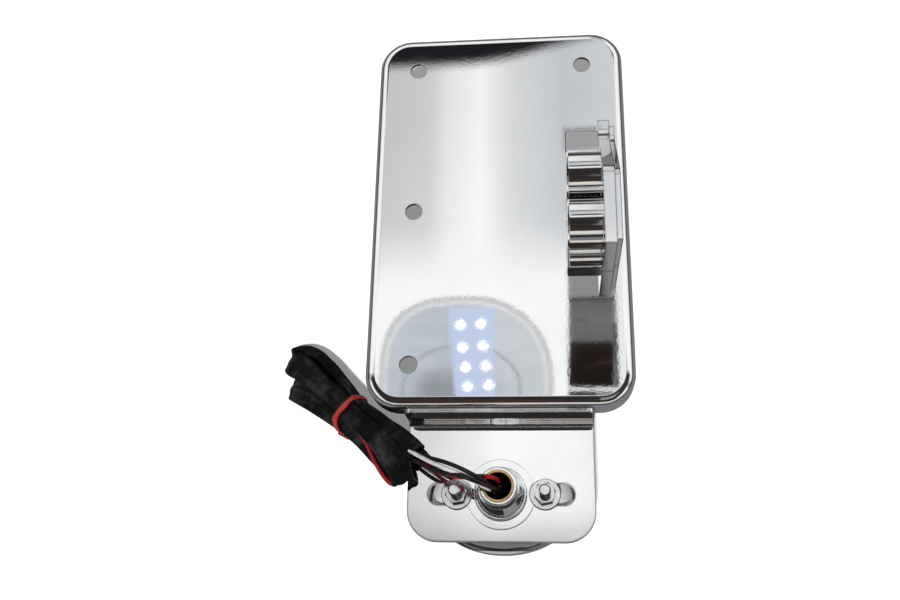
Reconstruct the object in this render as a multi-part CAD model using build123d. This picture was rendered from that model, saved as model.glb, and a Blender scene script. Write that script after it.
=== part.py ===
from build123d import *
import math
import os

# Side mount licence plate holder for a motorbike, in millimetres.
# Everything is drawn in the plate's own frame: +X across the plate, +Y to its top
# edge, +Z out of its back, zero at the middle of the back face. The finished nodes
# are then moved so that zero is the middle of the side mount's two bolt holes, on
# the outer face that meets the bike.

# Plate tray
PLATE_WIDTH = 114.0
PLATE_LENGTH = 181.0
PLATE_CORNER = 15.0
PLATE_SHEET = 1.5
TRAY_DEPTH = 12.0
TRAY_BEND = 4.5
HOLE_RADIUS = 3.9
HOLE_SIDE_MARGIN = 18.8
HOLE_END_MARGIN = 18.3
MIDDLE_HOLE_Y = -1.0

# Side mount bracket
ANGLE_THICKNESS = 5.0
LEG_WIDTH = 19.6
LEG_LENGTH = 65.5
LEG_LOW_Y = -31.4
EDGE_MARGIN = 7.8
FLANGE_HEIGHT = 31.0
FLANGE_LENGTH = 70.0
FLANGE_CREST = 34.0
FLANGE_TOE = 7.0
FLANGE_TOE_HEIGHT = 6.5
EDGE_BREAK = 0.6
BACKER_THICKNESS = 2.4
BACKER_INSET = 2.5
BOSS_RADIUS = 10.5
BOSS_SPACING = 22.7
BOSS_MIDDLE_Y = -4.25
BOSS_SEAT = 0.4
BOSS_CHAMFER = 0.8
MOUNT_BORE_RADIUS = 4.25

# Lamp bracket, a sheet folded once
BRACKET_WIDTH = 79.2
BRACKET_SHEET = 2.0
BRACKET_BEND = 2.0
BRACKET_LIP_DROP = 2.0
TAB_DROP = 19.5
TAB_LENGTH = 50.6
TAB_CORNER = 13.0
LIP_CORNER = 3.0
LAMP_AXIS_DROP = 32.9
SLOT_HEIGHT = 9.0
SLOT_INNER = 12.0
SLOT_OUTER = 31.0

# Lamp
GASKET_THICKNESS = 1.2
GASKET_SIZE = (23.0, 14.0)
HOUSING_BACK = (25.0, 16.0)
HOUSING_SHOULDER = (28.8, 19.4)
HOUSING_RIM = (30.9, 21.4)
HOUSING_BACK_TO_SHOULDER = 4.0
HOUSING_DEPTH = 17.0
HOUSING_WALL = 1.8
BACK_WALL = 2.2
BOARD_LEDGE_DEPTH = 8.5
BOARD_THICKNESS = 1.6
FIT = 0.1
LEDGE = 3.0
BEZEL_WIDTH = 1.6
BEZEL_DEPTH = 5.0
BEZEL_LIP = 2.2
BEZEL_LIP_THICKNESS = 1.2
LENS_WALL = 2.0
LENS_RISE = 6.0
LENS_SHOULDER_INSET = 1.6
LENS_CROWN_INSET = 7.0
SEAL_THICKNESS = 0.8
LED_SIZE = (3.6, 3.0)
LED_HEIGHT = 1.8
LED_PITCH = 9.0
LED_COLUMNS = 5
LED_ROWS = 3
LIGHT_WINDOW = (22.0, 6.0)
LENS_SCREW_SPACING = 51.0
LENS_SCREW_RADIUS = 1.5
LENS_SCREW_HEAD_RADIUS = 2.8
LENS_SCREW_HEAD = 1.4
LENS_SCREW_POST = 3.2

# Lamp fasteners
STUD_SPACING = 37.1
STUD_RADIUS = 2.5
STUD_OUT = 13.0
STUD_HEAD_RADIUS = 4.5
STUD_HEAD = 2.4
WASHER_RADIUS = 6.5
WASHER_THICKNESS = 1.2
NUT_ACROSS_FLATS = 8.0
NUT_HEIGHT = 4.0

# Cable ferrule
RING_RADIUS = 14.6
RING_THICKNESS = 1.0
FERRULE_BASE_RADIUS = 11.2
FERRULE_BASE = 1.8
FERRULE_CONE_LOW = 10.0
FERRULE_CONE_HIGH = 8.4
FERRULE_CONE = 12.0
FERRULE_NECK_RADIUS = 7.2
FERRULE_LIP_RADIUS = 7.9
FERRULE_HEIGHT = 21.0
FERRULE_LIP = 4.0
FERRULE_SPIGOT_RADIUS = 6.9
SPIGOT_BELOW_WALL = 1.5
BUSH_OUTER = 6.1
BUSH_BORE = 5.3
BUSH_FLANGE = 6.5
BUSH_FLANGE_THICKNESS = 0.8
BUSH_LENGTH = 18.0

# Harness: four wires, then a sleeve folded into a tied hank
WIRE_RADIUS = 0.9
MOUTH_RUN = 5.0
HANK_SECTIONS = [
    # centre x, y and z from the ferrule's top, half width, half thickness
    (-102.5, 61.9, -45.1, 7.5, 3.4),
    (-99.0, 59.4, -43.9, 12.0, 6.4),
    (-88.0, 51.9, -42.1, 11.6, 7.4),
    (-73.5, 41.9, -37.9, 8.0, 6.6),
    (-60.0, 30.9, -29.1, 10.2, 7.6),
    (-47.0, 18.4, -16.7, 10.6, 7.2),
    (-38.5, 10.9, -10.5, 8.6, 5.4),
]
# Wires: foot x and y on the board, points from the ferrule's top, place in the mouth
BLACK_FOOT = (-2.4, -0.4)
BLACK_ROUTE = [(-2.4, -0.2, -13.5), (-3.2, 0.8, 3.9), (-9.6, 4.0, 9.1), (-15.4, 6.8, 6.3), (-22.5, 9.9, 0.5)]
BLACK_MOUTH = (6.6, 1.6)
LOWER_FOOT = (-0.4, -2.7)
LOWER_ROUTE = [(-0.5, -2.5, -13.5), (-2.0, -2.2, 2.3), (-9.4, 0.2, 5.7), (-15.6, 2.1, 3.9), (-23.5, 6.0, -1.3)]
LOWER_MOUTH = (1.4, 0.0)
RED_FOOT = (0.2, 2.5)
RED_ROUTE = [(0.3, 2.3, -13.5), (-0.6, 3.4, 1.7), (-7.6, 4.2, 4.5), (-15.5, 5.3, 1.5), (-22.6, 7.8, -3.9)]
RED_MOUTH = (4.4, -1.2)
WHITE_FOOT = (2.2, -0.6)
WHITE_ROUTE = [(2.1, -0.5, -13.5), (1.4, 0.5, 3.5), (-8.7, 1.1, 9.9), (-15.7, 3.5, 7.5), (-22.7, 6.8, 1.9)]
WHITE_MOUTH = (4.0, 2.6)
TIE_THICKNESS = 1.4
TIE_WIDTH = 3.2
TIE_CLEARANCE = 0.5

# Places worked out from the sizes above
FLANGE_OUT_X = PLATE_WIDTH / 2 - EDGE_MARGIN
FLANGE_IN_X = FLANGE_OUT_X - ANGLE_THICKNESS
LEG_LEFT_X = FLANGE_OUT_X - LEG_WIDTH
BACKER_OUT_X = FLANGE_OUT_X + BACKER_THICKNESS
BOSS_Z = ANGLE_THICKNESS + BOSS_RADIUS - BOSS_SEAT
BOSS_YS = (BOSS_MIDDLE_Y + BOSS_SPACING / 2, BOSS_MIDDLE_Y - BOSS_SPACING / 2)
BOTTOM_Y = -PLATE_LENGTH / 2
TAB_FACE_Z = -TAB_DROP
TAB_BACK_Z = TAB_FACE_Z - BRACKET_SHEET
TAB_LOW_Y = BOTTOM_Y - BRACKET_SHEET - TAB_LENGTH
LAMP_Y = BOTTOM_Y - LAMP_AXIS_DROP
HOUSING_TOP_Z = TAB_BACK_Z - GASKET_THICKNESS
LEDGE_Z = HOUSING_TOP_Z - BOARD_LEDGE_DEPTH
RIM_Z = HOUSING_TOP_Z - HOUSING_DEPTH
BOARD_Z = LEDGE_Z - BOARD_THICKNESS
BOARD_SIZE = (HOUSING_SHOULDER[0] - HOUSING_WALL - FIT, HOUSING_SHOULDER[1] - HOUSING_WALL - FIT)
STUD_XS = (-STUD_SPACING / 2, STUD_SPACING / 2)
WASHER_TOP_Z = TAB_FACE_Z + WASHER_THICKNESS
RING_TOP_Z = TAB_FACE_Z + RING_THICKNESS
FERRULE_TOP_Z = RING_TOP_Z + FERRULE_HEIGHT
SPIGOT_LOW_Z = HOUSING_TOP_Z - BACK_WALL - SPIGOT_BELOW_WALL
ORIGIN = Vector(BACKER_OUT_X, BOSS_MIDDLE_Y, BOSS_Z)


def oval(size, z, grow=0.0):
    """One elliptical section of the lamp, at height z on the lamp's axis."""
    return Pos(0, LAMP_Y, z) * Ellipse(size[0] + grow, size[1] + grow)


def oval_block(size, z_low, z_high, grow=0.0):
    """An elliptical block on the lamp's axis between two heights."""
    return extrude(oval(size, z_low, grow), z_high - z_low)


def tube_x(x_low, x_high, y, z, radius):
    """A round bar along X."""
    return Pos(x_low, y, z) * Rot(0, 90, 0) * extrude(Circle(radius), x_high - x_low)


def round_bar(x, y, z_low, z_high, radius):
    """A round bar along Z."""
    return Pos(x, y, z_low) * extrude(Circle(radius), z_high - z_low)


def plate_hole_centres():
    """The four holes that the number plate is screwed to."""
    side_x = PLATE_WIDTH / 2 - HOLE_SIDE_MARGIN
    end_y = PLATE_LENGTH / 2 - HOLE_END_MARGIN
    return [(-side_x, end_y), (side_x, end_y), (-side_x, MIDDLE_HOLE_Y), (-side_x, -end_y)]


def back_plate():
    """Pressed tray: flat back, rolled edge and a low wall all round."""
    block = extrude(RectangleRounded(PLATE_WIDTH, PLATE_LENGTH, PLATE_CORNER), -TRAY_DEPTH)
    block = fillet(block.faces().sort_by(Axis.Z)[-1].edges(), TRAY_BEND)
    tray = offset(block, -PLATE_SHEET, openings=block.faces().sort_by(Axis.Z)[0])
    for x, y in plate_hole_centres():
        tray -= round_bar(x, y, -TRAY_DEPTH, TRAY_BEND, HOLE_RADIUS)
    return tray


def upright(x_low, thickness, inset):
    """The upright's profile as a plate standing on the tray's back."""
    low = LEG_LOW_Y + inset
    high = LEG_LOW_Y + FLANGE_LENGTH - inset
    top = FLANGE_HEIGHT - inset
    toe = FLANGE_TOE_HEIGHT - inset / 2
    outline = Polyline(
        (low, 0), (low, top), (LEG_LOW_Y + FLANGE_CREST, top), (high - FLANGE_TOE, toe), (high, toe), (high, 0),
        close=True,
    )
    plate = extrude(Plane.YZ * make_face(outline), thickness)
    plate = Pos(x_low, 0, 0) * plate
    slope_ends = plate.edges().filter_by(Axis.X).sort_by(Axis.Z)
    crest_edge = [e for e in slope_ends if abs(e.center().Y - (LEG_LOW_Y + FLANGE_CREST)) < EDGE_BREAK]
    toe_edge = [e for e in slope_ends if abs(e.center().Y - (high - FLANGE_TOE)) < EDGE_BREAK]
    plate = fillet(crest_edge + toe_edge, FLANGE_TOE)
    for y in BOSS_YS:
        plate -= tube_x(x_low, x_low + thickness, y, BOSS_Z, MOUNT_BORE_RADIUS)
    return plate


def mount_angle():
    """Angle of thick chromed steel: a leg welded on the tray and an upright flange."""
    leg = Pos(LEG_LEFT_X, LEG_LOW_Y, 0) * Box(
        LEG_WIDTH, LEG_LENGTH, ANGLE_THICKNESS, align=(Align.MIN, Align.MIN, Align.MIN)
    )
    leg = chamfer(leg.faces().sort_by(Axis.X)[0].edges().filter_by(Axis.Y).sort_by(Axis.Z)[-1], EDGE_BREAK)
    return leg + upright(FLANGE_IN_X, ANGLE_THICKNESS, 0.0)


def backer():
    """Thin facing plate on the flange's outer side, set in from its outline."""
    return upright(FLANGE_OUT_X, BACKER_THICKNESS, BACKER_INSET)


def mount_boss(y):
    """Turned boss behind a mounting hole, flatted where it sits on the angle's leg."""
    bar = tube_x(LEG_LEFT_X, FLANGE_IN_X, y, BOSS_Z, BOSS_RADIUS)
    bar = chamfer(bar.faces().sort_by(Axis.X)[0].edges(), BOSS_CHAMFER)
    bar -= tube_x(LEG_LEFT_X, FLANGE_IN_X, y, BOSS_Z, MOUNT_BORE_RADIUS)
    return bar - Box(
        PLATE_WIDTH, PLATE_LENGTH, ANGLE_THICKNESS, align=(Align.CENTER, Align.CENTER, Align.MIN)
    )


def lamp_bracket():
    """Sheet folded once: a lip under the tray's bottom wall and the tab that carries the lamp."""
    outer_y = BOTTOM_Y - BRACKET_SHEET
    outline = Polyline(
        (BOTTOM_Y, -BRACKET_LIP_DROP),
        (BOTTOM_Y, TAB_BACK_Z),
        (TAB_LOW_Y, TAB_BACK_Z),
        (TAB_LOW_Y, TAB_FACE_Z),
        (outer_y, TAB_FACE_Z),
        (outer_y, -BRACKET_LIP_DROP),
        close=True,
    )
    sheet = Pos(-BRACKET_WIDTH / 2, 0, 0) * extrude(Plane.YZ * make_face(outline), BRACKET_WIDTH)
    along_x = sheet.edges().filter_by(Axis.X)
    inner = along_x.sort_by_distance(Vector(0, outer_y, TAB_FACE_Z))[0]
    outer = along_x.sort_by_distance(Vector(0, BOTTOM_Y, TAB_BACK_Z))[0]
    sheet = fillet(inner, BRACKET_BEND)
    outer = sheet.edges().filter_by(Axis.X).sort_by_distance(Vector(0, BOTTOM_Y, TAB_BACK_Z))[0]
    sheet = fillet(outer, BRACKET_BEND + BRACKET_SHEET)
    tab_corners = sheet.edges().filter_by(Axis.Z).group_by(Axis.Y)[0]
    sheet = fillet(tab_corners, TAB_CORNER)
    lip_corners = sheet.edges().filter_by(Axis.Y).group_by(Axis.Z)[-1]
    sheet = fillet(lip_corners, LIP_CORNER)
    slot_length = SLOT_OUTER - SLOT_INNER
    for side in (-1, 1):
        slot = Pos(side * (SLOT_INNER + SLOT_OUTER) / 2, LAMP_Y, TAB_BACK_Z) * SlotOverall(slot_length, SLOT_HEIGHT)
        sheet -= extrude(slot, BRACKET_SHEET)
    return sheet - round_bar(0, LAMP_Y, TAB_BACK_Z, TAB_FACE_Z, FERRULE_SPIGOT_RADIUS + FIT)


def lamp_gasket():
    """Flat rubber gasket between the tab and the lamp."""
    pad = oval_block(GASKET_SIZE, HOUSING_TOP_Z, TAB_BACK_Z)
    for x in STUD_XS:
        pad -= round_bar(x, LAMP_Y, HOUSING_TOP_Z, TAB_BACK_Z, STUD_RADIUS + FIT)
    return pad - round_bar(0, LAMP_Y, HOUSING_TOP_Z, TAB_BACK_Z, FERRULE_SPIGOT_RADIUS + FIT)


def housing_skin():
    """Outer form of the lamp body, an oval bowl that widens to its rim."""
    shoulder_z = HOUSING_TOP_Z - HOUSING_BACK_TO_SHOULDER
    middle = tuple((a + b) / 2 + HOUSING_WALL / 3 for a, b in zip(HOUSING_SHOULDER, HOUSING_RIM))
    sections = [
        oval(HOUSING_BACK, HOUSING_TOP_Z),
        oval(HOUSING_SHOULDER, shoulder_z),
        oval(middle, (shoulder_z + RIM_Z) / 2),
        oval(HOUSING_RIM, RIM_Z),
    ]
    return loft(sections)


def light_window_block(shrink):
    """Block that cuts the plate light's window out of the lamp's upper side."""
    width, height = LIGHT_WINDOW
    middle_z = (LEDGE_Z + RIM_Z) / 2
    return Pos(0, LAMP_Y + HOUSING_SHOULDER[1] - 2 * HOUSING_WALL, middle_z) * Box(
        width - 2 * shrink, HOUSING_RIM[1], height - 2 * shrink, align=(Align.CENTER, Align.MIN, Align.CENTER)
    )


def housing_cavities():
    """The room behind the board and the wider room in front of it, up to the rim."""
    rear = oval_block(BOARD_SIZE, LEDGE_Z, HOUSING_TOP_Z - BACK_WALL, -LEDGE)
    front = loft([oval(BOARD_SIZE, LEDGE_Z, FIT), oval(HOUSING_RIM, RIM_Z, -HOUSING_WALL)])
    return rear + front


def screw_post_xs():
    """Places of the two lens screws, on the lamp's long axis."""
    return (-LENS_SCREW_SPACING / 2, LENS_SCREW_SPACING / 2)


def lamp_housing():
    """Lamp body with a ledge for the board, two screw posts and its holes."""
    body = housing_skin() - housing_cavities()
    for x in screw_post_xs():
        body += round_bar(x, LAMP_Y, RIM_Z, LEDGE_Z, LENS_SCREW_POST)
        body -= round_bar(x, LAMP_Y, RIM_Z, LEDGE_Z, LENS_SCREW_RADIUS + FIT)
    for x in STUD_XS:
        body -= round_bar(x, LAMP_Y, HOUSING_TOP_Z - BACK_WALL, HOUSING_TOP_Z, STUD_RADIUS + FIT)
    body -= round_bar(0, LAMP_Y, HOUSING_TOP_Z - BACK_WALL, HOUSING_TOP_Z, FERRULE_SPIGOT_RADIUS + FIT)
    return body - light_window_block(0.0)


def plate_light_window():
    """Clear pane in the lamp's upper side that lights the number plate."""
    wall = housing_skin() - housing_cavities()
    return wall & light_window_block(FIT / 2)


def led_board():
    """Oval circuit board on the housing's ledge, relieved round the screw posts."""
    board = oval_block(BOARD_SIZE, BOARD_Z, LEDGE_Z)
    for x in screw_post_xs():
        board -= round_bar(x, LAMP_Y, BOARD_Z, LEDGE_Z, LENS_SCREW_POST + FIT)
    return board


def leds():
    """Small square lamps in a grid, as one group of solids on the board."""
    group = []
    for row in range(LED_ROWS):
        for column in range(LED_COLUMNS):
            x = (column - (LED_COLUMNS - 1) / 2) * LED_PITCH
            y = LAMP_Y + (row - (LED_ROWS - 1) / 2) * LED_PITCH
            corner = (abs(x) + LED_SIZE[0] / 2, abs(y - LAMP_Y) + LED_SIZE[1] / 2)
            if (corner[0] / BOARD_SIZE[0]) ** 2 + (corner[1] / BOARD_SIZE[1]) ** 2 < 1:
                body = Box(*LED_SIZE, LED_HEIGHT, align=(Align.CENTER, Align.CENTER, Align.MAX))
                group.append((Pos(x, y, BOARD_Z) * body).solid())
    return Compound(children=group)


def lens_seal():
    """Rubber ring between the housing's rim and the lens."""
    ring = oval_block(HOUSING_RIM, RIM_Z - SEAL_THICKNESS, RIM_Z)
    ring -= oval_block(HOUSING_RIM, RIM_Z - SEAL_THICKNESS, RIM_Z, -HOUSING_WALL)
    return ring


def lens():
    """Domed lens with a flat rim that the bezel clamps."""
    top_z = RIM_Z - SEAL_THICKNESS
    rim = oval_block(HOUSING_RIM, top_z - LENS_WALL, top_z)
    dome_z = top_z - LENS_WALL
    outer = loft([
        oval(HOUSING_RIM, dome_z, -BEZEL_LIP),
        oval(HOUSING_RIM, dome_z - LENS_RISE / 2, -BEZEL_LIP - LENS_SHOULDER_INSET),
        oval(HOUSING_RIM, dome_z - LENS_RISE, -BEZEL_LIP - LENS_CROWN_INSET),
    ])
    hollow = loft([
        oval(HOUSING_RIM, top_z, -BEZEL_LIP - LENS_WALL),
        oval(HOUSING_RIM, dome_z - LENS_RISE / 2 + LENS_WALL, -BEZEL_LIP - LENS_WALL - LENS_SHOULDER_INSET),
        oval(HOUSING_RIM, dome_z - LENS_RISE + LENS_WALL, -BEZEL_LIP - LENS_WALL - LENS_CROWN_INSET),
    ])
    body = rim + outer - hollow
    for x in screw_post_xs():
        body += round_bar(x, LAMP_Y, top_z - LENS_WALL, top_z, LENS_SCREW_POST)
        body -= round_bar(x, LAMP_Y, dome_z - LENS_RISE, top_z - LENS_WALL, LENS_SCREW_HEAD_RADIUS + 2 * FIT)
        body -= round_bar(x, LAMP_Y, top_z - LENS_WALL, top_z, LENS_SCREW_RADIUS + FIT)
    return body


def bezel():
    """Bright ring that wraps the housing's rim and the lens's edge."""
    low_z = RIM_Z - SEAL_THICKNESS - LENS_WALL
    high_z = low_z + BEZEL_DEPTH
    ring = oval_block(HOUSING_RIM, low_z - BEZEL_LIP_THICKNESS, high_z, BEZEL_WIDTH)
    ring = chamfer(ring.faces().sort_by(Axis.Z)[0].edges(), BEZEL_LIP_THICKNESS / 2)
    ring -= oval_block(HOUSING_RIM, low_z, high_z, FIT)
    opening = oval_block(HOUSING_RIM, low_z - BEZEL_LIP_THICKNESS, low_z, FIT - BEZEL_LIP)
    ring -= opening
    return ring


def lens_screws():
    """Two pan head screws that hold the lens to the posts."""
    head_z = RIM_Z - SEAL_THICKNESS - LENS_WALL
    group = []
    for x in screw_post_xs():
        head = round_bar(x, LAMP_Y, head_z - LENS_SCREW_HEAD, head_z, LENS_SCREW_HEAD_RADIUS)
        head = chamfer(head.faces().sort_by(Axis.Z)[0].edges(), LENS_SCREW_HEAD / 2)
        shank = round_bar(x, LAMP_Y, head_z, LEDGE_Z, LENS_SCREW_RADIUS)
        group.append((head + shank).solid())
    return Compound(children=group)


def mounting_studs():
    """Two studs with flat heads inside the lamp, out through the tab's slots."""
    wall_z = HOUSING_TOP_Z - BACK_WALL
    group = []
    for x in STUD_XS:
        head = round_bar(x, LAMP_Y, wall_z - STUD_HEAD, wall_z, STUD_HEAD_RADIUS)
        shank = round_bar(x, LAMP_Y, wall_z, TAB_FACE_Z + STUD_OUT, STUD_RADIUS)
        shank = chamfer(shank.faces().sort_by(Axis.Z)[-1].edges(), EDGE_BREAK)
        group.append((head + shank).solid())
    return Compound(children=group)


def stud_washers():
    """Plain washers that span the slots."""
    group = []
    for x in STUD_XS:
        disc = round_bar(x, LAMP_Y, TAB_FACE_Z, WASHER_TOP_Z, WASHER_RADIUS)
        disc = chamfer(disc.faces().sort_by(Axis.Z)[-1].edges(), WASHER_THICKNESS / 4)
        group.append((disc - round_bar(x, LAMP_Y, TAB_FACE_Z, WASHER_TOP_Z, STUD_RADIUS + FIT)).solid())
    return Compound(children=group)


def stud_nuts():
    """Hexagon nuts, chamfered on top."""
    group = []
    corner_radius = NUT_ACROSS_FLATS / math.sqrt(3)
    for x in STUD_XS:
        hexagon = Pos(x, LAMP_Y, WASHER_TOP_Z) * extrude(RegularPolygon(corner_radius, 6, rotation=12), NUT_HEIGHT)
        crown = Pos(x, LAMP_Y, WASHER_TOP_Z + NUT_HEIGHT / 2) * Cone(
            corner_radius + NUT_HEIGHT, NUT_ACROSS_FLATS / 2, NUT_HEIGHT
        )
        nut = hexagon & crown
        nut -= round_bar(x, LAMP_Y, WASHER_TOP_Z, WASHER_TOP_Z + NUT_HEIGHT, STUD_RADIUS)
        group.append(nut.solid())
    return Compound(children=group)


def ferrule_washer():
    """Large washer under the ferrule, scalloped to clear the two stud washers."""
    disc = round_bar(0, LAMP_Y, TAB_FACE_Z, RING_TOP_Z, RING_RADIUS)
    disc -= round_bar(0, LAMP_Y, TAB_FACE_Z, RING_TOP_Z, FERRULE_SPIGOT_RADIUS + FIT)
    for x in STUD_XS:
        disc -= round_bar(x, LAMP_Y, TAB_FACE_Z, RING_TOP_Z, WASHER_RADIUS + FIT)
    return disc


def cable_ferrule():
    """Turned chrome nipple: foot, cone, neck and rolled lip, with a spigot into the lamp."""
    cone_top = RING_TOP_Z + FERRULE_BASE + FERRULE_CONE
    lip_low = FERRULE_TOP_Z - FERRULE_LIP
    outline = Polyline(
        (BUSH_OUTER, SPIGOT_LOW_Z),
        (FERRULE_SPIGOT_RADIUS, SPIGOT_LOW_Z),
        (FERRULE_SPIGOT_RADIUS, RING_TOP_Z),
        (FERRULE_BASE_RADIUS, RING_TOP_Z),
        (FERRULE_BASE_RADIUS, RING_TOP_Z + FERRULE_BASE),
        (FERRULE_CONE_LOW, RING_TOP_Z + FERRULE_BASE),
        (FERRULE_CONE_HIGH, cone_top),
        (FERRULE_NECK_RADIUS, cone_top + EDGE_BREAK),
        (FERRULE_NECK_RADIUS, lip_low),
        (FERRULE_LIP_RADIUS, lip_low + EDGE_BREAK),
        (FERRULE_LIP_RADIUS, FERRULE_TOP_Z),
        (BUSH_OUTER, FERRULE_TOP_Z),
        close=True,
    )
    turned = Pos(0, LAMP_Y, 0) * revolve(Plane.XZ * make_face(outline), Axis.Z)
    lip_edge = turned.edges().filter_by(GeomType.CIRCLE).group_by(Axis.Z)[-1].sort_by(SortBy.RADIUS)[-1]
    turned = fillet(lip_edge, (FERRULE_LIP_RADIUS - BUSH_FLANGE) / 2)
    foot = turned.edges().filter_by(GeomType.CIRCLE).group_by(Axis.Z)
    foot_edge = [e for ring in foot for e in ring if abs(e.radius - FERRULE_BASE_RADIUS) < FIT][-1]
    return fillet(foot_edge, EDGE_BREAK)


def ferrule_bush():
    """Brass bush that lines the ferrule, with a small flange on its lip."""
    flange_top = FERRULE_TOP_Z + BUSH_FLANGE_THICKNESS
    outline = Polyline(
        (BUSH_BORE, FERRULE_TOP_Z - BUSH_LENGTH),
        (BUSH_OUTER, FERRULE_TOP_Z - BUSH_LENGTH),
        (BUSH_OUTER, FERRULE_TOP_Z),
        (BUSH_FLANGE, FERRULE_TOP_Z),
        (BUSH_FLANGE, flange_top),
        (BUSH_BORE, flange_top),
        close=True,
    )
    bush = Pos(0, LAMP_Y, 0) * revolve(Plane.XZ * make_face(outline), Axis.Z)
    mouth = bush.edges().filter_by(GeomType.CIRCLE).group_by(Axis.Z)[-1]
    return chamfer(mouth, BUSH_FLANGE_THICKNESS / 3)


def wire_route(foot, points, mouth):
    """Points of a wire, from the board up through the ferrule and square into the sleeve's mouth."""
    face = hank_plane(len(HANK_SECTIONS) - 1)
    end = face.origin + face.x_dir * mouth[0] + face.y_dir * mouth[1]
    route = [(foot[0], LAMP_Y + foot[1], LEDGE_Z + FIT)]
    route += [(x, LAMP_Y + y, FERRULE_TOP_Z + z) for x, y, z in points]
    return route + [tuple(end + face.z_dir * MOUTH_RUN), tuple(end)]


def corner_radii(points):
    """Largest tangent arc at each inner point: 0.45 of its shorter run over tan of half the turn."""
    radii = []
    for before, here, after in zip(points, points[1:], points[2:]):
        arriving = Vector(*here) - Vector(*before)
        leaving = Vector(*after) - Vector(*here)
        half_turn = math.radians(arriving.get_angle(leaving)) / 2
        radii.append(0.45 * min(arriving.length, leaving.length) / math.tan(half_turn))
    return radii


def wire(foot, points, mouth):
    """Round wire along its route of straight runs and tangent arcs."""
    points = wire_route(foot, points, mouth)
    radii = corner_radii(points)
    path = FilletPolyline(*points, radius=radii)
    start = Plane(origin=path @ 0, z_dir=path % 0)
    print("wire length", round(path.length, 1), "radii", [round(radius, 1) for radius in radii])
    return sweep(start * Circle(WIRE_RADIUS), path)


def hank_axis():
    """Centres of the hank's sections."""
    return [Vector(x, LAMP_Y + y, FERRULE_TOP_Z + z) for x, y, z, *_ in HANK_SECTIONS]


def hank_plane(station):
    """Plane across the hank at one of its sections."""
    centres = hank_axis()
    along = centres[min(station + 1, len(centres) - 1)] - centres[max(station - 1, 0)]
    across = Vector(0, 0, 1).cross(along)
    return Plane(origin=centres[station], x_dir=across, z_dir=along)


def harness_hank():
    """Outer shape of the folded sleeve: two lobes drawn in at the tie."""
    sections = []
    for station, section in enumerate(HANK_SECTIONS):
        sections.append(hank_plane(station) * Ellipse(section[3], section[4]))
    return loft(sections)


def tie_band():
    """Soft band round the hank's waist."""
    waist = min(range(1, len(HANK_SECTIONS) - 1), key=lambda station: HANK_SECTIONS[station][3])
    half_width, half_thickness = HANK_SECTIONS[waist][3:]
    inner = (half_width + TIE_CLEARANCE, half_thickness + TIE_CLEARANCE)
    ring = Ellipse(inner[0] + TIE_THICKNESS, inner[1] + TIE_THICKNESS) - Ellipse(*inner)
    return hank_plane(waist) * extrude(ring, TIE_WIDTH / 2, both=True)


def nodes():
    """Every physical piece, by name."""
    return {
        "back_plate": back_plate(),
        "mount_angle": mount_angle(),
        "mount_backer": backer(),
        "upper_boss": mount_boss(BOSS_YS[0]),
        "lower_boss": mount_boss(BOSS_YS[1]),
        "lamp_bracket": lamp_bracket(),
        "lamp_gasket": lamp_gasket(),
        "lamp_housing": lamp_housing(),
        "plate_light_window": plate_light_window(),
        "led_board": led_board(),
        "leds": leds(),
        "lens_seal": lens_seal(),
        "lens": lens(),
        "lens_bezel": bezel(),
        "lens_screws": lens_screws(),
        "mounting_studs": mounting_studs(),
        "stud_washers": stud_washers(),
        "stud_nuts": stud_nuts(),
        "ferrule_washer": ferrule_washer(),
        "cable_ferrule": cable_ferrule(),
        "ferrule_bush": ferrule_bush(),
        "wire_black": wire(BLACK_FOOT, BLACK_ROUTE, BLACK_MOUTH),
        "wire_lower_black": wire(LOWER_FOOT, LOWER_ROUTE, LOWER_MOUTH),
        "wire_red": wire(RED_FOOT, RED_ROUTE, RED_MOUTH),
        "wire_white": wire(WHITE_FOOT, WHITE_ROUTE, WHITE_MOUTH),
        "harness_hank": harness_hank(),
        "tie_band": tie_band(),
    }


os.makedirs("parts", exist_ok=True)
for node_name, shape in nodes().items():
    export_step(shape.moved(Location(-ORIGIN)), f"parts/{node_name}.step")
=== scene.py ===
import math

import bmesh
import bpy
from mathutils import Matrix, Vector


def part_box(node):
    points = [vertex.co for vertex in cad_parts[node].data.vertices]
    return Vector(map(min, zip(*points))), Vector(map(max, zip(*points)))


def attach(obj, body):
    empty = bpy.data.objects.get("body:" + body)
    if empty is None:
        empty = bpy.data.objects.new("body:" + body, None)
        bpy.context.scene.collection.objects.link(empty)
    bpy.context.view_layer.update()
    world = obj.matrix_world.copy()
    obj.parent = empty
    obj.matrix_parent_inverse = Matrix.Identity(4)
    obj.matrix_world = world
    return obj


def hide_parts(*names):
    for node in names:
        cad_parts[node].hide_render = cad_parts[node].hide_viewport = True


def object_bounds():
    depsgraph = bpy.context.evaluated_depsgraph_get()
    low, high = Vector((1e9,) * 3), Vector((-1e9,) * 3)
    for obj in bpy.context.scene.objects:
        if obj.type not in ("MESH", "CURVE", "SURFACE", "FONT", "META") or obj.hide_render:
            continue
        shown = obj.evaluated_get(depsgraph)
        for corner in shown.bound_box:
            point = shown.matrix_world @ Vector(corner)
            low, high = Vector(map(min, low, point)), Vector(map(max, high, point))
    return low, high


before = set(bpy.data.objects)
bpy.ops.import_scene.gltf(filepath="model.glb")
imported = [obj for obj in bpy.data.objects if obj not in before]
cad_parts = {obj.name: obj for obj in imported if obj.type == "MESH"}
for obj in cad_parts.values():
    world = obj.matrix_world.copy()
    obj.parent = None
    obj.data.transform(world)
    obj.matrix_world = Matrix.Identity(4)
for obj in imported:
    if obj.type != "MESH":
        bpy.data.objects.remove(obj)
cad_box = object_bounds()

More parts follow.
